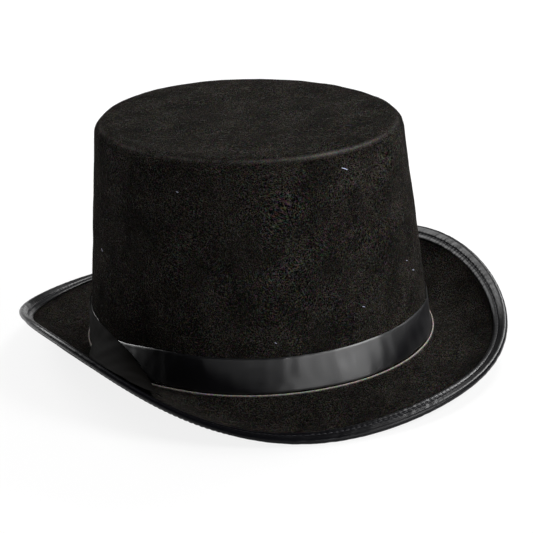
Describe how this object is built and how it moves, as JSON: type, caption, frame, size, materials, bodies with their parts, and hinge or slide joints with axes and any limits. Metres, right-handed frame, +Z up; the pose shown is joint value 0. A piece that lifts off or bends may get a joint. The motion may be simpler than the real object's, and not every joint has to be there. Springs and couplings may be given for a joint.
{
  "type": "top hat",
  "caption": "Costume top hat with a tapered oval crown, a satin-bound brim rolled up at the sides and a satin ribbon band with a loose end.",
  "frame": {"origin": "under the middle of the crown, on the level that the brim stands on", "axes": "+Z up through the crown, -Y to the front of the hat, +X to the wearer's left"},
  "size_m": [0.2512, 0.287, 0.1298],
  "materials": {
    "felt": "pressed non-woven polyester felt, matt with stray fibres",
    "ribbon": "black polyester satin, glossy along its weave",
    "binding": "black polyester satin bias tape",
    "thread": "black polyester sewing thread",
    "wire": "black plastic millinery wire",
    "sweatband": "black grosgrain ribbon",
    "label": "white woven satin label, blank"
  },
  "bodies": {
    "root": {"felt_body": "felt", "hat_band": "ribbon", "band_tail": "ribbon", "band_tack_stitches": "thread", "brim_binding": "binding", "brim_wire": "wire", "binding_needle_thread": "thread", "binding_bobbin_thread": "thread", "sweatband": "sweatband", "sweatband_stitches": "thread", "label": "label"}
  },
  "joints": []
}
